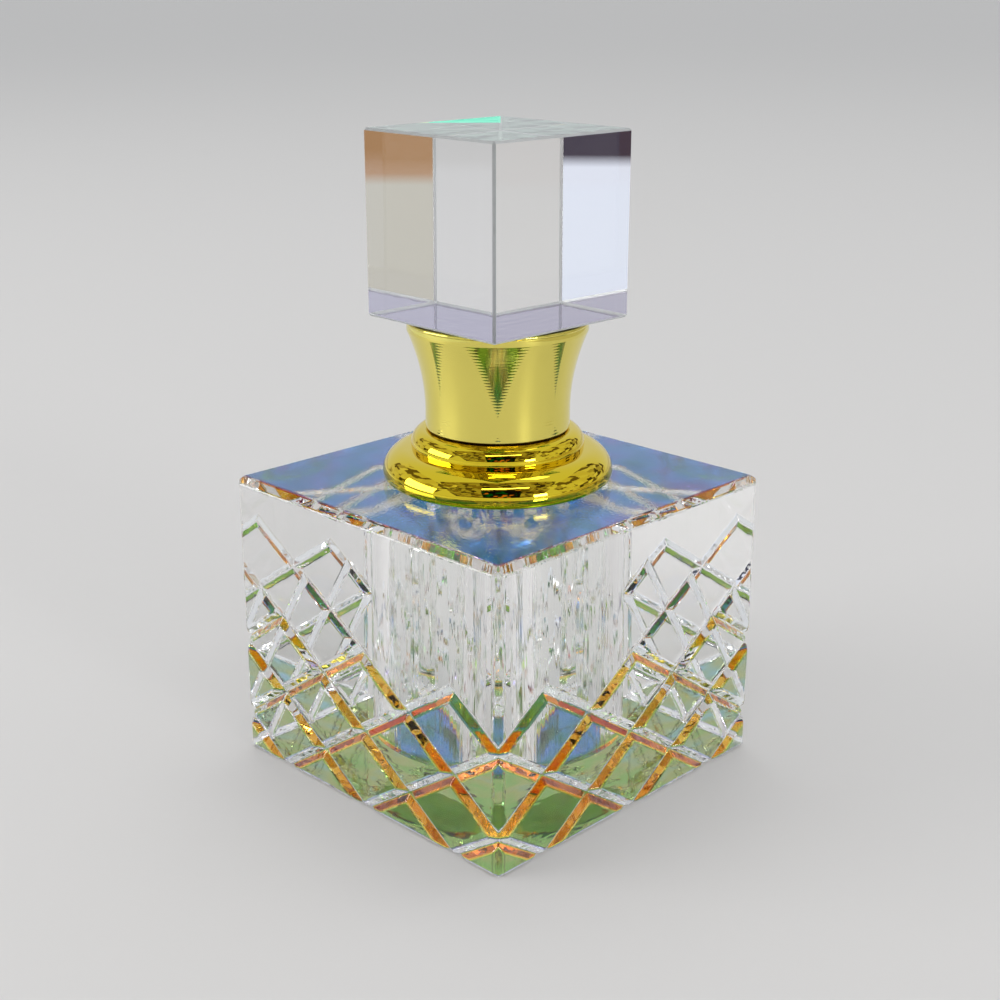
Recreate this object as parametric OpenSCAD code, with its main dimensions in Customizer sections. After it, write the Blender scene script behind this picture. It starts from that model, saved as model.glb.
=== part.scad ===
// Square cut-crystal perfume bottle with a gold screw cap and a cube stopper.
// Origin: centre of the underside. +Z up. The four cut faces look along +X, -X, +Y and -Y.

/* [Crystal body] */
// Width and depth of the square body
body_w = 40.8; // [36:0.2:46]
// Height of the body
body_h = 32.8; // [31:0.1:38]
// Width of the flat on each upright edge, measured along a face
edge_cut = 0.8; // [0.4:0.1:1.5]
// Height of the bevel round the top face
top_bevel = 0.8; // [0.3:0.1:1.5]
// Height of the bevel round the underside
foot_bevel = 0.4; // [0.2:0.1:1]
// Radius of the drilled chamber
chamber_r = 7.7; // [6.8:0.1:9]
// Thickness of glass left under the chamber
chamber_floor = 4; // [3:0.5:7]

/* [Cut pattern] */
// Diamonds across each face
diamonds = 3; // [2:1:4]
// Height of the top points of the pattern, as a share of the body height
peak_share = 0.55; // [0.45:0.01:0.7]
// Height of one diamond, as a share of the body height
diamond_share = 0.28; // [0.2:0.01:0.35]
// Width of each cut groove at the surface
groove_w = 1.5; // [0.8:0.1:2.2]

/* [Neck and collar] */
// Outer radius of the neck barrel at the root of its thread
neck_r = 5.7; // [5.4:0.05:5.8]
// Radius of the way through the neck
neck_bore_r = 4; // [3.5:0.1:4.5]
// Height of the threaded neck above the body
neck_rise = 13.2; // [12:0.1:14]
// Length of the plug that is glued into the chamber
plug_length = 3; // [2:0.5:6]
// Radius of the collar at its widest
collar_r = 12.5; // [11.5:0.1:14]
// Radius of the collar where its two tiers meet
collar_step_r = 9.4; // [9:0.1:10]
// Height of the collar's lower tier
collar_low_h = 3.5; // [3:0.1:4]
// Height of the whole collar
collar_h = 5.6; // [5.2:0.1:6]

/* [Thread] */
// Rise of the thread in one turn
thread_pitch = 2; // [1.5:0.1:2.5]
// Turns of the thread
thread_turns = 2; // [1:1:2]
// How far the thread stands out from the neck
thread_depth = 0.5; // [0.3:0.05:0.5]

/* [Cap] */
// Outer radius of the gold sleeve at its foot
sleeve_foot_r = 7.8; // [7.8:0.1:8.4]
// Outer radius of the gold sleeve at its top rim
sleeve_top_r = 9.75; // [9.25:0.05:10.5]
// Height of the gold sleeve
sleeve_h = 11.7; // [11.5:0.1:13]
// Wall thickness of the gold sleeve
sleeve_wall = 0.4; // [0.3:0.05:0.45]
// Radius of the glass dabber's rod
wand_r = 1.7; // [1:0.1:2]
// Radius of the ball on the end of the dabber
wand_ball_r = 2.3; // [2.2:0.1:2.8]

/* [Stopper] */
// Side of the crystal cube
cube_side = 19.5; // [16:0.5:24]
// Width of the fine flat on each edge of the cube
cube_edge = 0.25; // [0.1:0.05:0.6]
// How far the cube is turned from square with the body when the cap is tight
cube_turn = -1.5; // [-45:0.5:45]

/* [Hidden] */
$fn = 96;
eps = 0.01;
spare = 3;                                  // how far a cutter runs past what it cuts
run = 0.05;                                 // gap between pieces that move past each other

// Cut pattern
pitch_u = body_w / diamonds;                // width of one diamond
peak_z = peak_share * body_h;
groove_drop = diamond_share * body_h;       // fall of a groove across one diamond
groove_angle = atan2(groove_drop, pitch_u);
groove_len = 2 * body_w;

// Neck
glue = 0.15;                                // thickness of the two glue lines
flange_r = 9;
flange_h = 1.2;
neck_top = body_h + neck_rise;
plain_rim = 0.9;                            // unthreaded stretch at the top of the neck
ridge_half = thread_pitch * 0.3;            // half the thread's width at its root
thread_top = neck_top - plain_rim;
thread_r = neck_r + thread_depth;

// Collar
belly_r = 0.9;                              // rounding of the collar's widest edge
shoulder = 0.3;                             // how far the lower tier runs on under the upper
tier_rise = 0.4;                            // height above the step at which the upper tier is widest
tier_waist_r = sleeve_foot_r + 0.1;
collar_hole_r = thread_r + 0.4;
collar_hole_h = 1.6;

// Cap, from its foot upwards
seat_gap = 0.15;                            // space between the collar and the tight cap
sleeve_z = body_h + collar_h + seat_gap;
sleeve_top = sleeve_z + sleeve_h;
straight = 1.8;                             // upright stretch above the sleeve's foot
flare_power = 2;                            // how sharply the sleeve opens out
rim_h = 1;                                  // upright rim at the sleeve's top
lip = 0.05;                                 // how far the rim stands out from the flare
seal_h = 0.8;
seal_z = neck_top + run;
seal_inset = 0.2;                           // how much smaller than the thread the washer is
seal_play = 0.15;                           // gap between the washer and the rod
roof_z = seal_z + seal_h + run;             // inside roof of the liner
liner_r = sleeve_foot_r - sleeve_wall;
liner_bore_r = thread_r + 0.1;
liner_foot = sleeve_z + 0.3;
lead_in = 0.4;                              // height of the funnel at the liner's mouth
rod_gap = 0.3;                              // space between the rod's end and the sleeve's roof
wand_top = sleeve_top - sleeve_wall - rod_gap;
ball_rise = 3.5;                            // height of the dabber's ball over the chamber floor
wand_low = chamber_floor + ball_rise;
bond_inset = 1;                             // how far the glue disc keeps from the sleeve's rim
cube_z = sleeve_top + glue;

// A square rod along Z with its four long edges cut off
module edged_square(side, cut, height) {
    half = side / 2;
    inner = half - cut;
    linear_extrude(height, center = true)
        polygon([
            [inner, -half], [half, -inner], [half, inner], [inner, half],
            [-inner, half], [-half, inner], [-half, -inner], [-inner, -half]
        ]);
}

// The body's upright section, extruded through it: bevels at top and foot
module side_section() {
    half = body_w / 2;
    rotate([90, 0, 0])
        linear_extrude(body_w + 2 * spare, center = true)
            polygon([
                [-half + foot_bevel, 0], [half - foot_bevel, 0],
                [half, foot_bevel], [half, body_h - top_bevel],
                [half - top_bevel, body_h], [-half + top_bevel, body_h],
                [-half, body_h - top_bevel], [-half, foot_bevel]
            ]);
}

module blank() {
    intersection() {
        translate([0, 0, body_h / 2])
            edged_square(body_w, edge_cut, body_h);
        side_section();
        rotate([0, 0, 90]) side_section();
    }
}

// A V-shaped bar that falls to the right from [u, z] on the face at -Y, u from the left edge
module falling_groove(u, z) {
    half = groove_w / 2;
    translate([u - body_w / 2, -body_w / 2, z])
        rotate([0, groove_angle, 0])
            rotate([90, 0, 90])
                linear_extrude(groove_len, center = true)
                    polygon([[-spare, -spare - half], [half, 0], [-spare, spare + half]]);
}

// The falling grooves of one face. Those that start on the face are mitred at their peak.
module falling_grooves() {
    for (k = [0 : diamonds - 1]) {
        peak_u = (k + 0.5) * pitch_u;
        intersection() {
            falling_groove(peak_u, peak_z);
            translate([peak_u - body_w / 2, -body_w / 2 - spare, -spare])
                cube([body_w + spare, 2 * spare, body_h]);
        }
    }
    for (k = [1 : ceil(peak_share / diamond_share)])
        if (peak_z - (k - 0.5) * groove_drop > 0)
            falling_groove((0.5 - k) * pitch_u, peak_z);
}

module face_grooves() {
    falling_grooves();
    mirror([1, 0, 0]) falling_grooves();
}

// Solid crystal block, cut on four sides and drilled from the top
module crystal_body() {
    color([0.86, 0.92, 0.94, 0.5])
        difference() {
            blank();
            for (side = [0 : 3])
                rotate([0, 0, 90 * side]) face_grooves();
            translate([0, 0, chamber_floor])
                cylinder(r = chamber_r, h = body_h);
        }
}

// Ridges of the neck's thread, one for each turn
module thread_ridges() {
    for (turn = [0 : thread_turns])
        translate([0, 0, thread_top - ridge_half - turn * thread_pitch])
            rotate_extrude()
                polygon([
                    [neck_r - thread_depth, -ridge_half], [neck_r, -ridge_half],
                    [thread_r, -ridge_half / 3], [thread_r, ridge_half / 3],
                    [neck_r, ridge_half], [neck_r - thread_depth, ridge_half]
                ]);
}

// Metal neck: a plug glued in the chamber, a flange on the glass and a threaded barrel
module neck_insert() {
    plug_r = chamber_r - glue;
    color([0.83, 0.68, 0.21])
        difference() {
            union() {
                translate([0, 0, body_h - plug_length])
                    cylinder(r = plug_r, h = plug_length + eps);
                translate([0, 0, body_h])
                    cylinder(r = flange_r, h = flange_h);
                translate([0, 0, body_h])
                    cylinder(r = neck_r, h = neck_rise);
                thread_ridges();
            }
            translate([0, 0, body_h - plug_length - spare])
                cylinder(r = neck_bore_r, h = plug_length + neck_rise + 2 * spare);
        }
}

// Thin sleeve of clear glue between the plug and the chamber wall
module neck_bond() {
    color([0.9, 0.9, 0.85, 0.5])
        translate([0, 0, body_h - plug_length])
            difference() {
                cylinder(r = chamber_r, h = plug_length);
                translate([0, 0, -spare])
                    cylinder(r = chamber_r - glue, h = plug_length + 2 * spare);
            }
}

// Points of an arc of an ellipse, from one angle to another
function bulge(cx, cz, rx, rz, from, to, steps = 10) = [
    for (i = [0 : steps])
    let (a = from + (to - from) * i / steps)
    [cx + rx * cos(a), cz + rz * sin(a)]
];

// Two rounded gold tiers over the flange, hollow below
module collar() {
    tuck = -10;                             // angles on the arcs of the tiers
    under = -70;
    crown = 85;
    low_cx = collar_step_r + shoulder;
    high_cz = collar_low_h + tier_rise;
    outline = concat(
        [[flange_r + run, 0], [collar_r - belly_r, 0]],
        bulge(collar_r - belly_r, belly_r, belly_r, belly_r, under, tuck),
        bulge(low_cx, belly_r, collar_r - low_cx, collar_low_h - belly_r, 0, crown),
        bulge(tier_waist_r, high_cz, collar_step_r - tier_waist_r, collar_h - high_cz, tuck, 90),
        [
            [collar_hole_r, collar_h], [collar_hole_r, collar_h - collar_hole_h],
            [flange_r + run, flange_h + run]
        ]
    );
    color([0.85, 0.7, 0.12])
        translate([0, 0, body_h])
            rotate_extrude() polygon(outline);
}

// Soft washer that the cap presses on the rim of the neck
module cap_seal() {
    color([0.95, 0.95, 0.92])
        translate([0, 0, seal_z])
            difference() {
                cylinder(r = thread_r - seal_inset, h = seal_h);
                translate([0, 0, -spare])
                    cylinder(r = wand_r + seal_play, h = seal_h + 2 * spare);
            }
}

// Glass rod with a ball on its end, held in the roof of the liner
module dabber() {
    rod_z = wand_low + wand_ball_r;
    color([0.88, 0.93, 0.95, 0.6])
        translate([0, 0, rod_z])
            union() {
                cylinder(r = wand_r, h = wand_top - rod_z);
                sphere(r = wand_ball_r);
            }
}

// Flared gold sleeve, closed at the top and open at the foot
module cap_shell() {
    flare_h = sleeve_h - straight - rim_h;
    flare = sleeve_top_r - lip - sleeve_foot_r;
    steps = 12;
    outer = [
        for (i = [0 : steps])
        [sleeve_foot_r + flare * pow(i / steps, flare_power), straight + flare_h * i / steps]
    ];
    inner = [for (i = [steps - 1 : -1 : 0]) [outer[i][0] - sleeve_wall, outer[i][1]]];
    outline = concat(
        [[sleeve_foot_r, 0]],
        outer,
        [[sleeve_top_r, sleeve_h - rim_h + lip], [sleeve_top_r, sleeve_h], [0, sleeve_h]],
        [[0, sleeve_h - sleeve_wall], [outer[steps][0] - sleeve_wall, sleeve_h - sleeve_wall]],
        inner,
        [[sleeve_foot_r - sleeve_wall, 0]]
    );
    color([0.87, 0.76, 0.15])
        translate([0, 0, sleeve_z])
            rotate_extrude() polygon(outline);
}

// Moulded plug inside the sleeve: female thread below, socket for the dabber above
module cap_liner() {
    head = sleeve_top - sleeve_wall;
    color([0.92, 0.92, 0.9])
        difference() {
            translate([0, 0, liner_foot])
                cylinder(r = liner_r, h = head - liner_foot);
            translate([0, 0, liner_foot - spare])
                cylinder(r = liner_bore_r, h = roof_z - liner_foot + spare);
            translate([0, 0, liner_foot - eps])
                cylinder(r1 = liner_bore_r + lead_in, r2 = liner_bore_r, h = lead_in);
            translate([0, 0, roof_z - spare])
                cylinder(r = wand_r + run, h = wand_top + run - roof_z + spare);
        }
}

// Disc of clear glue that holds the cube on the sleeve
module stopper_bond() {
    color([0.9, 0.9, 0.9, 0.5])
        translate([0, 0, sleeve_top])
            cylinder(r = sleeve_top_r - bond_inset, h = glue);
}

// Polished crystal cube with fine flats on all its edges
module stopper_cube() {
    color([0.88, 0.94, 0.94, 0.5])
        translate([0, 0, cube_z + cube_side / 2])
            rotate([0, 0, cube_turn])
                intersection() {
                    edged_square(cube_side, cube_edge, cube_side);
                    rotate([90, 0, 0]) edged_square(cube_side, cube_edge, cube_side);
                    rotate([0, 90, 0]) edged_square(cube_side, cube_edge, cube_side);
                }
}

crystal_body();
neck_insert();
neck_bond();
collar();
cap_seal();
dabber();
cap_shell();
cap_liner();
stopper_bond();
stopper_cube();
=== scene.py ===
"""Cut-crystal perfume bottle: detailed meshes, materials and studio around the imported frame."""

import math

import bmesh
import bpy
from mathutils import Matrix, Vector, noise


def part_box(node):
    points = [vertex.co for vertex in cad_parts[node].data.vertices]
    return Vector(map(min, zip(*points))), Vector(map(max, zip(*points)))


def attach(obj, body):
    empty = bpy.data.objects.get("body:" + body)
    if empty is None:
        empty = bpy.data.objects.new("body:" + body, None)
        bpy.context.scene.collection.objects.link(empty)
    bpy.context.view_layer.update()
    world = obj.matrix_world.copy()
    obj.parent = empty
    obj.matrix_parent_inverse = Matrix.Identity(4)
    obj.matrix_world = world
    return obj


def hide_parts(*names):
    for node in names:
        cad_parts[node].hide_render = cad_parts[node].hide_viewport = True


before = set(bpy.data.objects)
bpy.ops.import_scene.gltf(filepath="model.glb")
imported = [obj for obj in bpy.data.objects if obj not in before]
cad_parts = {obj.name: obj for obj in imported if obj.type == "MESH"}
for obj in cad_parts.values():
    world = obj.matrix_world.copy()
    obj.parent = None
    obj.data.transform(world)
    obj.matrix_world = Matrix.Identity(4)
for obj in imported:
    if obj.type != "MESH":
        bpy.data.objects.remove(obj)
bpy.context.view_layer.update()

MM = 0.001
CAP = "cap"
BOTTLE = "bottle"

# ---------------------------------------------------------------- sizes taken from the frame
body_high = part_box("crystal_body")[1]
collar_low, collar_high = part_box("collar")
neck_low, neck_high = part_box("neck_insert")
sleeve_low, sleeve_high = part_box("cap_shell")
liner_low, liner_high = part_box("cap_liner")
bond_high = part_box("neck_bond")[1]
seal_low, seal_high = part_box("cap_seal")
wand_low, wand_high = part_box("dabber")
cube_low, cube_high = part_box("stopper_cube")

body_h = body_high.z
cube_side = cube_high.z - cube_low.z

# ---------------------------------------------------------------- details that the boxes don't give
# crystal
GLASS_IOR = 1.52
CHAMBER_R = bond_high.x
CHAMBER_FLOOR = 4 * MM
BORE_R = CHAMBER_R + 0.09 * MM              # the drawn wall lies just outside the glue
BORE_FLOOR = CHAMBER_FLOOR - 0.1 * MM
BORE_CORNER = 0.8 * MM                      # round between the chamber's floor and its wall
SMOOTH_WALL = 4.5 * MM                      # stretch of wall below the top face with no ripples
EDGE_ROUND = 0.2 * MM
COATING_RIPPLE = 0.05 * MM
CUBE_EDGE = 0.25 * MM
CUBE_TURN = math.radians(-1.5)

# neck
GLUE = 0.15 * MM
NECK_R = 5.7 * MM
NECK_BORE_R = 4 * MM
FLANGE_H = 1.2 * MM
PLAIN_RIM = 0.9 * MM                        # stretch of barrel above the thread
THREAD_PITCH = 2 * MM
THREAD_TURNS = 2
THREAD_DEPTH = 0.5 * MM

# sleeve, with the fine rings that turning leaves on it
SLEEVE_FOOT_R = 7.8 * MM
RING_PITCH = 0.33 * MM
RING_DEPTH = 0.0014 * MM
RING_POINTS = 6                             # points of the profile in one ring

# camera; azimuth and elevation are those of the camera as seen from the bottle
CAMERA_AZIMUTH = math.radians(-45.2)
CAMERA_ELEVATION = math.radians(18.63)
CAMERA_DISTANCE = 172.95 * MM
TARGET_HEIGHT = 29.9 * MM
SIDE_STEP = 0.25 * MM
FOCAL = 56.65


# ---------------------------------------------------------------- mesh helpers
def add_object(name, mesh):
    obj = bpy.data.objects.new(name, mesh)
    bpy.context.scene.collection.objects.link(obj)
    return obj


def object_from_bmesh(name, bm):
    bmesh.ops.recalc_face_normals(bm, faces=bm.faces)
    mesh = bpy.data.meshes.new(name)
    bm.to_mesh(mesh)
    bm.free()
    return add_object(name, mesh)


def smooth_by_angle(obj, degrees):
    mesh = obj.data
    mesh.polygons.foreach_set("use_smooth", [True] * len(mesh.polygons))
    mesh.set_sharp_from_angle(angle=math.radians(degrees))


def lathe(name, profile, steps=160, sharp=35):
    """Turns a closed profile of (radius, height) points round Z."""
    bm = bmesh.new()
    rings = []
    for r, z in profile:
        if r < 1e-7:
            rings.append([bm.verts.new((0, 0, z))])
            continue
        turns = [2 * math.pi * i / steps for i in range(steps)]
        rings.append([bm.verts.new((r * math.cos(a), r * math.sin(a), z)) for a in turns])
    for lower, upper in zip(rings, rings[1:] + rings[:1]):
        if len(lower) == 1 and len(upper) == 1:
            continue
        for i in range(steps):
            j = (i + 1) % steps
            corners = [lower[i % len(lower)], lower[j % len(lower)]]
            corners += [upper[j % len(upper)], upper[i % len(upper)]]
            face = list(dict.fromkeys(corners))
            bm.faces.new(face)
    obj = object_from_bmesh(name, bm)
    smooth_by_angle(obj, sharp)
    return obj


def arc(cx, cz, rx, rz, start, end, steps=12):
    """Points of an arc of an ellipse, from one angle to another in degrees."""
    points = []
    for i in range(steps + 1):
        a = math.radians(start + (end - start) * i / steps)
        points.append((cx + rx * math.cos(a), cz + rz * math.sin(a)))
    return points


def rounded(points, radius, steps=4):
    """The closed outline with each corner replaced by a small curve."""
    out = []
    count = len(points)
    for i, (x, z) in enumerate(points):
        here = Vector((x, z))
        before = Vector(points[i - 1])
        after = Vector(points[(i + 1) % count])
        if x < 1e-7:
            out.append((x, z))
            continue
        r = min(radius, (before - here).length * 0.45, (after - here).length * 0.45)
        a = here + (before - here).normalized() * r
        b = here + (after - here).normalized() * r
        for k in range(steps + 1):
            t = k / steps
            p = a * (1 - t) ** 2 + here * 2 * t * (1 - t) + b * t * t
            out.append((max(p.x, 0), p.y))
    return out


# ---------------------------------------------------------------- material helpers
def new_material(name):
    mat = bpy.data.materials.new(name)
    mat.use_nodes = True
    nodes = mat.node_tree.nodes
    nodes.clear()
    out = nodes.new("ShaderNodeOutputMaterial")
    shader = nodes.new("ShaderNodeBsdfPrincipled")
    mat.node_tree.links.new(shader.outputs[0], out.inputs[0])
    return mat, nodes, mat.node_tree.links, shader


def set_inputs(node, **values):
    """Sets input sockets by name, with _ for each space."""
    for name, value in values.items():
        node.inputs[name.replace("_", " ")].default_value = value


def ramp_node(nodes, stops):
    ramp = nodes.new("ShaderNodeValToRGB")
    while len(ramp.color_ramp.elements) > 1:
        ramp.color_ramp.elements.remove(ramp.color_ramp.elements[-1])
    for i, (position, colour) in enumerate(stops):
        stop = ramp.color_ramp.elements[0] if i == 0 else ramp.color_ramp.elements.new(position)
        stop.position = position
        stop.color = (*colour, 1)
    return ramp


def object_coords(nodes, links, scale):
    """Object coordinates in metres, times a scale for each axis."""
    coords = nodes.new("ShaderNodeTexCoord")
    mapping = nodes.new("ShaderNodeMapping")
    mapping.inputs["Scale"].default_value = scale
    links.new(coords.outputs["Object"], mapping.inputs["Vector"])
    return mapping


def noise_node(nodes, links, mapping, detail, scale=1.0):
    texture = nodes.new("ShaderNodeTexNoise")
    set_inputs(texture, Scale=scale, Detail=detail)
    links.new(mapping.outputs[0], texture.inputs["Vector"])
    return texture


def add_bump(nodes, links, shader, texture, distance):
    bump = nodes.new("ShaderNodeBump")
    set_inputs(bump, Strength=1.0, Distance=distance)
    links.new(texture.outputs["Fac"], bump.inputs["Height"])
    links.new(bump.outputs[0], shader.inputs["Normal"])


def mix_shaders(nodes, links, first, second, share):
    """Puts a mix of two shaders on the material's output; share is the second one's."""
    mix = nodes.new("ShaderNodeMixShader")
    mix.inputs[0].default_value = share
    links.new(first.outputs[0], mix.inputs[1])
    links.new(second.outputs[0], mix.inputs[2])
    out = next(n for n in nodes if n.type == "OUTPUT_MATERIAL")
    links.new(mix.outputs[0], out.inputs[0])


def crystal_material(name, tint=(1, 1, 1), wave=0.0, wave_scale=260):
    """Clear lead-free crystal; wave is the height of the ripple that polishing leaves."""
    mat, nodes, links, shader = new_material(name)
    set_inputs(shader, Base_Color=(*tint, 1), Roughness=0.0, IOR=GLASS_IOR)
    set_inputs(shader, Transmission_Weight=1.0)
    if wave:
        mapping = object_coords(nodes, links, (wave_scale,) * 3)
        add_bump(nodes, links, shader, noise_node(nodes, links, mapping, 1.0), wave)
    return mat


def ground_edge_material():
    """The fine flats along the cube's edges: ground, not polished."""
    mat, nodes, links, shader = new_material("ground_edge")
    set_inputs(shader, Base_Color=(0.62, 0.64, 0.64, 1), Roughness=0.5, IOR=GLASS_IOR)
    set_inputs(shader, Transmission_Weight=0.8)
    mapping = object_coords(nodes, links, (9000, 9000, 9000))
    add_bump(nodes, links, shader, noise_node(nodes, links, mapping, 2.0), 0.01 * MM)
    return mat


def bore_material():
    """The drilled chamber wall: clear, with fine upright tool marks."""
    mat, nodes, links, shader = new_material("bore_glass")
    set_inputs(shader, Base_Color=(0.97, 0.98, 0.97, 1), Roughness=0.03, IOR=GLASS_IOR)
    set_inputs(shader, Transmission_Weight=1.0)
    mapping = object_coords(nodes, links, (2600, 2600, 90))
    add_bump(nodes, links, shader, noise_node(nodes, links, mapping, 2.0), 0.02 * MM)
    return mat


# Colour that the iridescent coating reflects, by 1 - cos(angle of incidence in the crystal)
BASE_COATING = (
    (0.00, (0.34, 0.52, 0.08)),
    (0.10, (0.08, 0.36, 0.02)),
    (0.155, (0.03, 0.24, 0.14)),
    (0.20, (0.06, 0.29, 0.60)),
    (0.225, (0.12, 0.30, 0.74)),
    (0.26, (0.24, 0.22, 0.62)),
    (0.31, (0.36, 0.11, 0.28)),
    (0.37, (0.68, 0.15, 0.02)),
    (0.45, (0.92, 0.33, 0.01)),
    (0.53, (0.95, 0.62, 0.06)),
    (0.59, (0.70, 0.72, 0.06)),
    (0.64, (0.16, 0.42, 0.01)),
    (0.67, (0.22, 0.42, 0.02)),
    (0.70, (0.36, 0.40, 0.06)),
    (0.73, (0.24, 0.42, 0.22)),
    (0.76, (0.20, 0.50, 0.56)),
    (0.80, (0.34, 0.34, 0.68)),
    (0.90, (0.50, 0.40, 0.70)),
)
CUBE_COATING = (
    (0.00, (0.44, 0.60, 0.52)),
    (0.30, (0.58, 0.72, 0.62)),
    (0.60, (0.60, 0.56, 0.66)),
    (0.80, (0.33, 0.26, 0.50)),
    (0.92, (0.30, 0.23, 0.47)),
)


def coating_material(name, stops, strength, drift):
    """Thin-film mirror coating: its colour turns with the angle and drifts with the film.

    strength is the share of light that meets the film; the rest passes through clear glass.
    """
    mat, nodes, links, shader = new_material(name)
    facing = nodes.new("ShaderNodeLayerWeight")
    set_inputs(facing, Blend=0.5)
    mapping = object_coords(nodes, links, (170, 170, 170))
    film = noise_node(nodes, links, mapping, 2.0)
    shift = nodes.new("ShaderNodeMapRange")
    set_inputs(shift, From_Min=0.3, From_Max=0.7, To_Min=-drift, To_Max=drift)
    links.new(film.outputs["Fac"], shift.inputs["Value"])
    total = nodes.new("ShaderNodeMath")
    total.operation = "ADD"
    links.new(facing.outputs["Facing"], total.inputs[0])
    links.new(shift.outputs[0], total.inputs[1])
    ramp = ramp_node(nodes, stops)
    links.new(total.outputs[0], ramp.inputs[0])
    links.new(ramp.outputs[0], shader.inputs["Base Color"])
    set_inputs(shader, Metallic=1.0, Roughness=0.02)
    ripple = noise_node(nodes, links, mapping, 1.0, scale=2.2)
    add_bump(nodes, links, shader, ripple, COATING_RIPPLE)
    clear = nodes.new("ShaderNodeBsdfPrincipled")
    set_inputs(clear, Roughness=0.0, IOR=GLASS_IOR, Transmission_Weight=1.0)
    mix_shaders(nodes, links, shader, clear, 1 - strength)
    return mat


def mirror_gold_material():
    """Electroplated gold on the collar: mirror-bright with a very slight ripple."""
    mat, nodes, links, shader = new_material("mirror_gold")
    set_inputs(shader, Base_Color=(0.85, 0.65, 0.035, 1), Metallic=1.0, Roughness=0.03)
    mapping = object_coords(nodes, links, (160, 160, 160))
    add_bump(nodes, links, shader, noise_node(nodes, links, mapping, 2.0), 0.06 * MM)
    return mat


def turned_gold_material():
    """Anodised sleeve: greenish gold whose turning lines smear part of each highlight upright."""
    mat, nodes, links, shader = new_material("turned_gold")
    gold = (0.86, 0.75, 0.17, 1)
    set_inputs(shader, Base_Color=gold, Metallic=1.0, Roughness=0.03)
    smear = nodes.new("ShaderNodeBsdfPrincipled")
    set_inputs(smear, Base_Color=gold, Metallic=1.0, Roughness=0.42)
    set_inputs(smear, Anisotropic=0.95, Anisotropic_Rotation=0.25)
    around = nodes.new("ShaderNodeTangent")
    around.direction_type = "RADIAL"
    around.axis = "Z"
    links.new(around.outputs[0], smear.inputs["Tangent"])
    mix_shaders(nodes, links, shader, smear, 0.14)
    return mat


def plain_material(name, colour, roughness, grain_scale, grain, **extra):
    """Moulded or foamed plastic with a fine grain."""
    mat, nodes, links, shader = new_material(name)
    set_inputs(shader, Base_Color=(*colour, 1), Roughness=roughness, **extra)
    mapping = object_coords(nodes, links, (grain_scale,) * 3)
    add_bump(nodes, links, shader, noise_node(nodes, links, mapping, 3.0), grain)
    return mat


# ---------------------------------------------------------------- crystal body
def body_blank():
    """The frame's cut block, welded into one closed mesh with whole flat faces."""
    bm = bmesh.new()
    bm.from_mesh(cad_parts["crystal_body"].data)
    bmesh.ops.remove_doubles(bm, verts=bm.verts, dist=0.0005 * MM)
    flat = math.radians(0.5)
    bmesh.ops.dissolve_limit(bm, angle_limit=flat, verts=bm.verts, edges=bm.edges)
    return object_from_bmesh("blank", bm)


def bore_solid(top):
    """The chamber's space: a cylinder whose wall has fine upright ripples from drilling."""
    around = 420
    rows = 60
    bm = bmesh.new()
    rings = []
    corner = BORE_CORNER
    foot = BORE_FLOOR + corner
    levels = [(BORE_R - corner, BORE_FLOOR)]
    for degrees in (15, 30, 45, 60, 75):
        a = math.radians(degrees)
        r = BORE_R - corner + corner * math.sin(a)
        levels.append((r, BORE_FLOOR + corner - corner * math.cos(a)))
    levels += [(BORE_R, foot + (top - foot) * i / rows) for i in range(rows + 1)]
    smooth_top = body_h - SMOOTH_WALL
    for r, z in levels:
        ring = []
        for i in range(around):
            a = 2 * math.pi * i / around
            c, s = math.cos(a), math.sin(a)
            streak = 1 - abs(noise.noise(Vector((c * 12, s * 12, z * 45))))
            fine = 1 - abs(noise.noise(Vector((c * 22, s * 22, z * 80 + 7))))
            swell = noise.noise(Vector((c * 5, s * 5, z * 30 + 3)))
            fade = 1 if z < smooth_top else max(0, 1 - (z - smooth_top) / (1 * MM))
            ripple = (0.03 * streak**10 + 0.016 * fine**10 + 0.01 * swell) * MM * fade
            ring.append(bm.verts.new(((r + ripple) * c, (r + ripple) * s, z)))
        rings.append(ring)
    for lower, upper in zip(rings, rings[1:]):
        for i in range(around):
            j = (i + 1) % around
            bm.faces.new((lower[i], lower[j], upper[j], upper[i]))
    bm.faces.new(rings[0][::-1])
    bm.faces.new(rings[-1])
    return object_from_bmesh("bore", bm)


def apply_modifiers(obj):
    bpy.context.view_layer.update()
    graph = bpy.context.evaluated_depsgraph_get()
    mesh = bpy.data.meshes.new_from_object(obj.evaluated_get(graph))
    obj.modifiers.clear()
    old = obj.data
    obj.data = mesh
    bpy.data.meshes.remove(old)


def subtract(obj, cutter):
    mod = obj.modifiers.new("cut", "BOOLEAN")
    mod.operation = "DIFFERENCE"
    mod.solver = "EXACT"
    mod.object = cutter
    apply_modifiers(obj)
    bpy.data.objects.remove(cutter)


def soften_edges(obj):
    """Fire-polished edges: a small round on every edge of the block and its grooves."""
    mod = obj.modifiers.new("soft", "BEVEL")
    mod.width = EDGE_ROUND
    mod.segments = 3
    mod.limit_method = "ANGLE"
    mod.angle_limit = math.radians(20)
    mod.use_clamp_overlap = True
    apply_modifiers(obj)


ON_FACE, IN_BORE, AT_BASE, ON_GROOVE = range(4)


def in_groove(face):
    """True for the slanting facets of the cut pattern, and not for the block's own bevels."""
    slanting = max(abs(c) for c in face.normal) < 0.97 and abs(face.normal.z) > 0.05
    return slanting and 0.5 * MM < face.center.z < body_h - 1.2 * MM


def body_material_index(face):
    """Which of the body's materials a face takes, in the order that make_body lists them."""
    centre = face.center
    radius = math.hypot(centre.x, centre.y)
    if radius < CHAMBER_R + 0.2 * MM and centre.z > CHAMBER_FLOOR - 0.5 * MM:
        return IN_BORE
    if centre.z < 0.01 * MM:
        return AT_BASE
    return ON_GROOVE if in_groove(face) else ON_FACE


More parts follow.
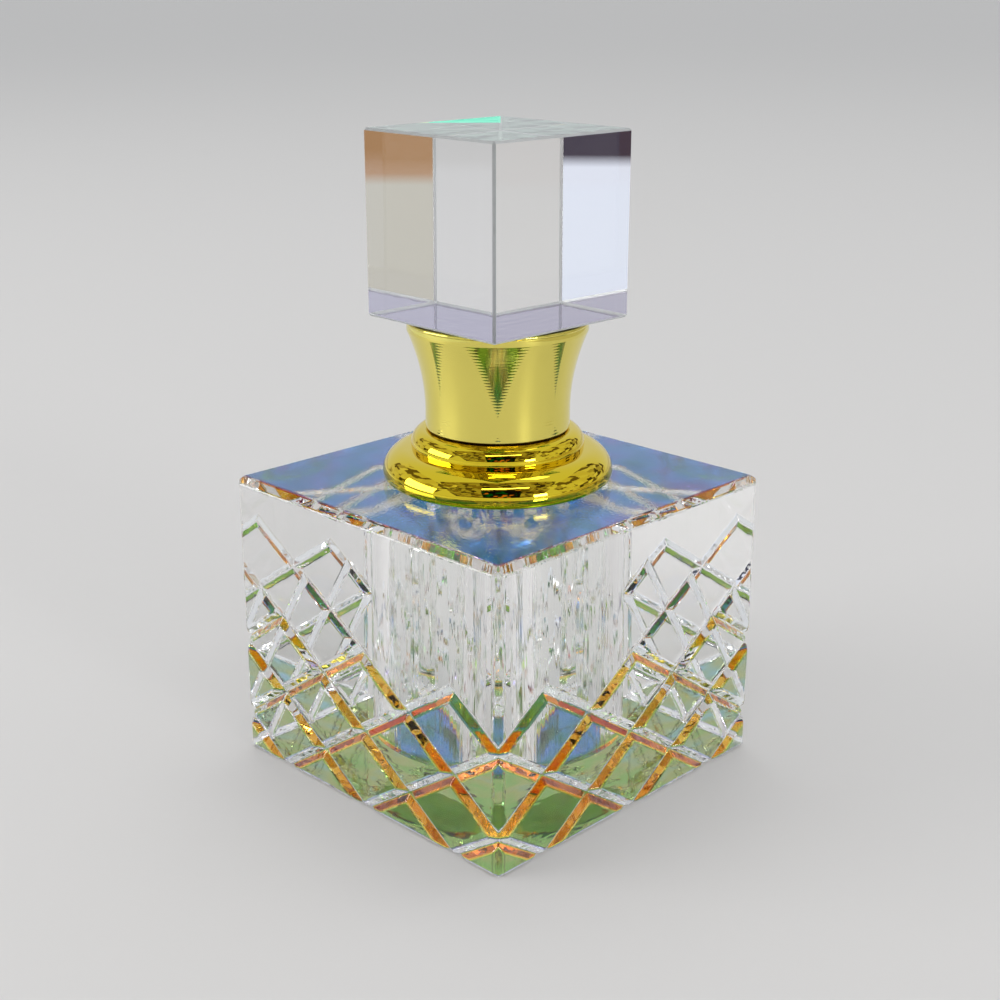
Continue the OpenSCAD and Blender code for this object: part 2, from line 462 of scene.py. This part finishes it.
def make_body(crystal, groove_glass, bore_glass, coating):
    obj = body_blank()
    soften_edges(obj)
    subtract(obj, bore_solid(body_h + 2 * MM))
    obj.name = "body_crystal"
    mesh = obj.data
    mesh.materials.clear()
    for mat in (crystal, bore_glass, coating, groove_glass):
        mesh.materials.append(mat)
    for face in mesh.polygons:
        face.material_index = body_material_index(face)
        bore_wall = face.material_index == IN_BORE and abs(face.normal.z) < 0.98
        face.use_smooth = bore_wall or face.area < 0.6 * MM * MM
    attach(obj, BOTTLE)
    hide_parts("crystal_body")
    return obj


# ---------------------------------------------------------------- neck and collar
def collar_profile():
    """Two rounded tiers, worked out from the collar's box."""
    z0 = collar_low.z
    top = collar_high.z - z0
    wide = collar_high.x
    low_h = top * 0.625                     # share of the height that the lower tier takes
    belly = 0.9 * MM
    step_r = 9.4 * MM
    shoulder = 0.3 * MM
    waist_r = SLEEVE_FOOT_R + 0.1 * MM
    high_z = low_h + 0.4 * MM
    hole_r = 6.6 * MM
    hole_low = top - 1.6 * MM
    seat_r = neck_high.x + 0.05 * MM
    seat_top = 1.25 * MM
    outer = [(seat_r, 0), (wide - belly, 0)]
    outer += arc(wide - belly, belly, belly, belly, -70, -8, 10)
    outer += arc(step_r + shoulder, belly, wide - step_r - shoulder, low_h - belly, 0, 84, 26)
    outer += arc(waist_r, high_z, step_r - waist_r, top - high_z, -12, 88, 20)
    inner = [(hole_r, top), (hole_r, hole_low), (seat_r, seat_top)]
    return [(r, z + z0) for r, z in outer + inner]


def make_collar(gold):
    obj = lathe("collar_gold_ring", collar_profile(), steps=256, sharp=40)
    obj.data.materials.append(gold)
    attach(obj, BOTTLE)
    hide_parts("collar")
    return obj


def helix_ridge(name, root_r, crest_r, low_z, turns, half):
    """A V thread swept up a helix, fading in and out at its ends."""
    steps = 72
    fade_steps = 12
    buried_r = root_r - 0.2 * MM
    count = int(turns * steps)
    bm = bmesh.new()
    rings = []
    for i in range(count + 1):
        a = 2 * math.pi * i / steps
        z = low_z + THREAD_PITCH * i / steps
        fade = min(1, i / fade_steps, (count - i) / fade_steps)
        crest = root_r + (crest_r - root_r) * fade
        section = [(buried_r, -half), (root_r, -half), (crest, -half * 0.25)]
        section += [(crest, half * 0.25), (root_r, half), (buried_r, half)]
        rings.append([bm.verts.new((r * math.cos(a), r * math.sin(a), z + dz)) for r, dz in section])
    sides = len(rings[0])
    for lower, upper in zip(rings, rings[1:]):
        for j in range(sides):
            k = (j + 1) % sides
            bm.faces.new((lower[j], lower[k], upper[k], upper[j]))
    bm.faces.new(rings[0])
    bm.faces.new(rings[-1][::-1])
    obj = object_from_bmesh(name, bm)
    smooth_by_angle(obj, 30)
    return obj


def make_neck(gold):
    """Plug, flange and barrel as one turned piece, with the helical thread round it."""
    plug_r = CHAMBER_R - GLUE
    flange_r = neck_high.x
    flange_top = body_h + FLANGE_H
    top = neck_high.z
    outline = [
        (NECK_BORE_R, neck_low.z), (plug_r, neck_low.z), (plug_r, body_h), (flange_r, body_h),
        (flange_r, flange_top), (NECK_R, flange_top), (NECK_R, top), (NECK_BORE_R, top),
    ]
    obj = lathe("neck_metal", rounded(outline, 0.15 * MM), steps=128)
    half = THREAD_PITCH * 0.3
    thread_low = top - PLAIN_RIM - half - THREAD_TURNS * THREAD_PITCH
    crest_r = NECK_R + THREAD_DEPTH
    thread = helix_ridge("neck_thread", NECK_R, crest_r, thread_low, THREAD_TURNS, half)
    for piece in (obj, thread):
        piece.data.materials.append(gold)
        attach(piece, BOTTLE)
    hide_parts("neck_insert")
    return obj


# ---------------------------------------------------------------- cap
def sleeve_profile():
    """Flared sleeve with a thin lip at the top, closed there and hollow below."""
    z0 = sleeve_low.z
    height = sleeve_high.z - z0
    top_r = sleeve_high.x
    foot_r = SLEEVE_FOOT_R
    foot_cut = 0.12 * MM
    straight = 1.8 * MM
    lip_h = 1.0 * MM
    lip = 0.05 * MM
    lip_round = 0.2 * MM
    wall = 0.4 * MM
    flare_h = height - straight - lip_h
    ringed_h = height - lip_h - foot_cut
    count = round(ringed_h / RING_PITCH * RING_POINTS)
    outer = []
    for i in range(count + 1):
        z = foot_cut + ringed_h * i / count
        t = max(0, z - straight) / flare_h
        ring = RING_DEPTH * math.cos(2 * math.pi * i / RING_POINTS)
        outer.append((foot_r + (top_r - lip - foot_r) * t**2 + ring, z))
    points = [(foot_r - foot_cut, 0)] + outer
    points += arc(top_r - lip_round, height - lip_round, lip_round, lip_round, -60, 90, 10)
    points += [(0, height), (0, height - wall), (top_r - lip - wall, height - wall)]
    points += [(r - wall, z) for r, z in outer[-2 * RING_POINTS :: -RING_POINTS]]
    points += [(foot_r - wall, 0)]
    return [(r, z + z0) for r, z in points]


def make_sleeve(gold):
    obj = lathe("cap_gold_sleeve", sleeve_profile(), steps=256, sharp=40)
    obj.data.materials.append(gold)
    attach(obj, CAP)
    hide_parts("cap_shell")
    return obj


def make_liner(plastic):
    """Plug inside the sleeve: a plain bore over the neck's thread and a socket for the rod."""
    outer_r = liner_high.x
    bore_r = 6.3 * MM
    lead_in = 0.4 * MM
    foot = liner_low.z
    head = liner_high.z
    roof = seal_high.z + 0.05 * MM
    socket_r = 1.75 * MM
    outline = [
        (bore_r + lead_in, foot), (outer_r, foot), (outer_r, head), (socket_r, head),
        (socket_r, roof), (bore_r, roof), (bore_r, foot + lead_in),
    ]
    obj = lathe("cap_plastic_liner", rounded(outline, 0.1 * MM), steps=128)
    obj.data.materials.append(plastic)
    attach(obj, CAP)
    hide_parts("cap_liner")
    return obj


def make_seal(foam):
    """Foam washer round the rod."""
    hole_r = 1.85 * MM
    outline = [
        (hole_r, seal_low.z), (seal_high.x, seal_low.z),
        (seal_high.x, seal_high.z), (hole_r, seal_high.z),
    ]
    obj = lathe("seal_washer", rounded(outline, 0.15 * MM), steps=96)
    obj.data.materials.append(foam)
    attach(obj, "seal")
    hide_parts("cap_seal")
    return obj


def make_dabber(glass):
    """Glass rod drawn out to a ball, with a soft fillet between them."""
    rod_r = 1.7 * MM
    end_cut = 0.15 * MM
    ball_r = wand_high.x
    centre = wand_low.z + ball_r
    join = math.degrees(math.acos(rod_r / ball_r))
    points = arc(0, centre, ball_r, ball_r, -90, join - 6, 28)
    points += [(rod_r + 0.03 * MM, centre + ball_r * 0.78), (rod_r, centre + ball_r * 0.95)]
    points += [(rod_r, wand_high.z - end_cut), (rod_r - end_cut, wand_high.z), (0, wand_high.z)]
    points[0] = (0, wand_low.z)
    obj = lathe("dabber_glass_rod", points, steps=96)
    obj.data.materials.append(glass)
    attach(obj, "applicator")
    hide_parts("dabber")
    return obj


def make_cube(crystal, coating, ground_edge):
    """Crystal cube with a fine flat on every edge and the coating on its underside."""
    bm = bmesh.new()
    bmesh.ops.create_cube(bm, size=cube_side)
    bmesh.ops.translate(bm, vec=(0, 0, (cube_low.z + cube_high.z) / 2), verts=bm.verts)
    bmesh.ops.bevel(bm, geom=bm.edges[:], offset=CUBE_EDGE, segments=1, affect="EDGES")
    obj = object_from_bmesh("stopper_crystal", bm)
    obj.data.transform(Matrix.Rotation(CUBE_TURN, 4, "Z"))
    for mat in (crystal, coating, ground_edge):
        obj.data.materials.append(mat)
    for face in obj.data.polygons:
        at_edge = face.area < cube_side**2 / 2
        underneath = face.center.z < cube_low.z + 0.01 * MM
        face.material_index = 2 if at_edge else 1 if underneath else 0
    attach(obj, CAP)
    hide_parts("stopper_cube")
    return obj


def glue_film(node, material):
    """A thin CAD glue layer keeps its shape and takes a clear finish."""
    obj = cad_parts[node]
    obj.data.materials.clear()
    obj.data.materials.append(material)


# ---------------------------------------------------------------- studio
def stage_plane(name, size, matrix, material):
    mesh = bpy.data.meshes.new(name)
    x, y = size[0] / 2, size[1] / 2
    mesh.from_pydata([(-x, -y, 0), (x, -y, 0), (x, y, 0), (-x, y, 0)], [], [(0, 1, 2, 3)])
    mesh.materials.append(material)
    obj = add_object(name, mesh)
    obj.matrix_world = matrix
    return obj


def floor_material():
    mat, _, _, shader = new_material("floor")
    set_inputs(shader, Base_Color=(0.705, 0.683, 0.665, 1), Roughness=0.7)
    return mat


AIM_POINT = Vector((0, 0, 0.04))


def facing_centre(direction, distance, height):
    """A matrix that puts a card round the bottle and turns it to face it.

    direction is in degrees: 0 is the photograph's side, 90 is to its right, 180 is behind.
    """
    a = math.radians(direction) + CAMERA_AZIMUTH
    place = Vector((math.sin(a) * distance, -math.cos(a) * distance, height))
    look = (AIM_POINT - place).to_track_quat("Z", "Y")
    return Matrix.Translation(place) @ look.to_matrix().to_4x4()


def area_light(name, direction, distance, height, size, power):
    data = bpy.data.lights.new(name, "AREA")
    data.shape = "RECTANGLE"
    data.size, data.size_y = size
    data.energy = power
    obj = bpy.data.objects.new(name, data)
    bpy.context.scene.collection.objects.link(obj)
    obj.matrix_world = facing_centre(direction, distance, height) @ Matrix.Rotation(math.pi, 4, "Y")
    obj.visible_camera = False
    return obj


def make_camera():
    data = bpy.data.cameras.new("camera")
    data.lens = FOCAL
    data.sensor_width = 36
    data.clip_start = 0.005
    cam = bpy.data.objects.new("camera", data)
    bpy.context.scene.collection.objects.link(cam)
    a, e = CAMERA_AZIMUTH, CAMERA_ELEVATION
    back = Vector((math.sin(a) * math.cos(e), -math.cos(a) * math.cos(e), math.sin(e)))
    right = Vector((math.cos(a), math.sin(a), 0))
    cam.location = Vector((0, 0, TARGET_HEIGHT)) + back * CAMERA_DISTANCE + right * SIDE_STEP
    cam.rotation_mode = "QUATERNION"
    cam.rotation_quaternion = (-back).to_track_quat("-Z", "Y")
    bpy.context.scene.camera = cam


def make_world():
    world = bpy.data.worlds.new("studio")
    bpy.context.scene.world = world
    world.use_nodes = True
    back = world.node_tree.nodes["Background"]
    back.inputs[0].default_value = (0.61, 0.63, 0.65, 1)
    back.inputs[1].default_value = 1.1


def glow_material(name):
    """A material that only glows, with what is needed to colour it."""
    mat, nodes, links, shader = new_material(name + "_glow")
    set_inputs(shader, Base_Color=(0, 0, 0, 1), Emission_Strength=1.0, Specular_IOR_Level=0.0)
    return mat, nodes, links, shader


def hidden_card(name, size, matrix, material):
    """A card that neither the camera nor the floor sees, and that polished faces reflect."""
    obj = stage_plane(name, size, matrix, material)
    obj.visible_camera = False
    obj.visible_diffuse = False
    obj.visible_shadow = False
    return obj


def painted_reflection_card(name, size, matrix, cell, tones):
    """Glowing blocks of different tones that no lamp lights: a painted reflection of a furnished
    room as it looks in a small curved mirror.
    """
    mat, nodes, links, shader = glow_material(name)
    mapping = object_coords(nodes, links, (1 / cell, 1 / cell, 1))
    cells = nodes.new("ShaderNodeTexVoronoi")
    cells.distance = "CHEBYCHEV"
    set_inputs(cells, Scale=1.0)
    links.new(mapping.outputs[0], cells.inputs["Vector"])
    ramp = ramp_node(nodes, tones)
    ramp.color_ramp.interpolation = "CONSTANT"
    links.new(cells.outputs["Color"], ramp.inputs[0])
    links.new(ramp.outputs[0], shader.inputs["Emission Color"])
    hidden_card(name, size, matrix, mat).visible_transmission = False


def glow_card(name, size, matrix, colour):
    mat, _, _, shader = glow_material(name)
    set_inputs(shader, Emission_Color=(*colour, 1))
    hidden_card(name, size, matrix, mat).visible_transmission = False


def glowing_table_card(name, direction, turn, soft, near_colour, far_colour):
    """A glowing strip of table whose colour changes at a distance from the bottle: painted light,
    hidden from the camera, that the glass and polished faces show.
    """
    near, far, width = 0.16, 1.1, 0.6
    a = math.radians(direction) + CAMERA_AZIMUTH
    middle = (near + far) / 2
    place = Vector((math.sin(a) * middle, -math.cos(a) * middle, 0.1 * MM))
    matrix = Matrix.Translation(place) @ Matrix.Rotation(a - math.pi / 2, 4, "Z")
    mat, nodes, links, shader = glow_material(name)
    mapping = object_coords(nodes, links, (1, 1, 1))
    parts = nodes.new("ShaderNodeSeparateXYZ")
    links.new(mapping.outputs[0], parts.inputs[0])
    span = nodes.new("ShaderNodeMapRange")
    set_inputs(span, From_Min=turn - soft - middle, From_Max=turn + soft - middle)
    links.new(parts.outputs["X"], span.inputs["Value"])
    ramp = ramp_node(nodes, ((0, near_colour), (1, far_colour)))
    links.new(span.outputs[0], ramp.inputs[0])
    links.new(ramp.outputs[0], shader.inputs["Emission Color"])
    hidden_card(name, (far - near, width), matrix, mat)


# Glow colours of the table strips: painted light standing in for the lit table and the darker things
# beyond it.
BEIGE = (0.52, 0.50, 0.43)
BROWN = (0.42, 0.24, 0.115)
BLUISH_WHITE = (0.76, 0.81, 0.93)
NAVY = (0.018, 0.018, 0.05)
# Glow colours of the painted reflections of the room, its sides and the photographer.
ROOM_TONES = (
    (0.0, (0.04, 0.03, 0.02)), (0.22, (0.22, 0.17, 0.09)), (0.42, (0.40, 0.37, 0.30)),
    (0.60, (0.10, 0.08, 0.05)), (0.70, (0.36, 0.34, 0.28)), (0.88, (0.85, 0.82, 0.75)),
)
SIDE_TONES = (
    (0.0, (0.60, 0.58, 0.52)), (0.3, (0.14, 0.11, 0.07)), (0.45, (0.66, 0.66, 0.64)),
    (0.65, (0.40, 0.37, 0.30)), (0.75, (0.06, 0.05, 0.03)), (0.82, (0.7, 0.7, 0.68)),
)
PERSON_TONES = (
    (0.0, (0.003, 0.003, 0.003)), (0.4, (0.0, 0.07, 0.08)), (0.55, (0.005, 0.005, 0.005)),
    (0.78, (0.55, 0.17, 0.06)), (0.9, (0.01, 0.01, 0.01)),
)


def make_studio():
    floor_gap = 0.05 * MM
    floor = Matrix.Translation((0, 0, -floor_gap))
    stage_plane("floor", (16, 16), floor, floor_material())
    # Glowing strips of table that no lamp lights: painted light seen only through the glass and in
    # polished faces.
    glowing_table_card("table_right", 90, 0.51, 0.02, BEIGE, BROWN)
    glowing_table_card("table_left", -90, 0.58, 0.025, BLUISH_WHITE, NAVY)
    # Glowing cards hidden from the camera and the floor: painted reflections of the room, its sides
    # and the photographer, seen only in polished faces.
    painted_reflection_card("room", (3.6, 2.6), facing_centre(0, 1.2, 1.25), 0.2, ROOM_TONES)
    painted_reflection_card("room_left", (2.2, 1.2), facing_centre(-100, 1.3, 0.6), 0.22, SIDE_TONES)
    painted_reflection_card("room_right", (2.2, 1.2), facing_centre(100, 1.3, 0.6), 0.22, SIDE_TONES)
    painted_reflection_card("person", (0.42, 0.42), facing_centre(4, 0.6, 0.33), 0.055, PERSON_TONES)
    glow_card("mint_light", (0.075, 0.009), facing_centre(181.4, 1.5, 0.2), (0.35, 1.3, 0.95))
    glow_card("lime_light", (0.05, 0.009), facing_centre(183.75, 1.5, 0.2), (0.95, 1.3, 0.8))
    window = area_light("window_left", -84, 0.9, 0.22, (0.62, 0.36), 3.6)
    window.visible_transmission = False
    area_light("window_right", 42, 0.9, 0.18, (0.22, 0.16), 2)
    area_light("ceiling", 160, 0.35, 1.2, (0.8, 0.25), 1.5)
    area_light("ceiling_front", 10, 0.8, 1.1, (0.9, 0.08), 1.5)


# ---------------------------------------------------------------- build
make_camera()
make_world()
make_studio()

crystal = crystal_material("crystal", wave=0.008 * MM)
groove_glass = crystal_material("groove_glass", wave=0.05 * MM, wave_scale=700)
bore_glass = bore_material()
clear_glass = crystal_material("clear_glass")
glue = crystal_material("clear_glue", tint=(0.96, 0.96, 0.92))
base_coating = coating_material("base_coating", BASE_COATING, 0.96, 0.045)
cube_coating = coating_material("cube_coating", CUBE_COATING, 0.95, 0.05)
mirror_gold = mirror_gold_material()
turned_gold = turned_gold_material()
liner_plastic = plain_material("liner_plastic", (0.85, 0.85, 0.82), 0.45, 900, 0.02 * MM)
seal_foam = plain_material("seal_foam", (0.9, 0.9, 0.87), 0.85, 2500, 0.05 * MM)

make_body(crystal, groove_glass, bore_glass, base_coating)
make_collar(mirror_gold)
make_neck(mirror_gold)
make_sleeve(turned_gold)
make_liner(liner_plastic)
make_seal(seal_foam)
make_dabber(clear_glass)
make_cube(clear_glass, cube_coating, ground_edge_material())
glue_film("neck_bond", glue)
glue_film("stopper_bond", glue)

scene = bpy.context.scene
scene.view_settings.view_transform = "Standard"
scene.cycles.max_bounces = 24
scene.cycles.glossy_bounces = 12
scene.cycles.transmission_bounces = 24
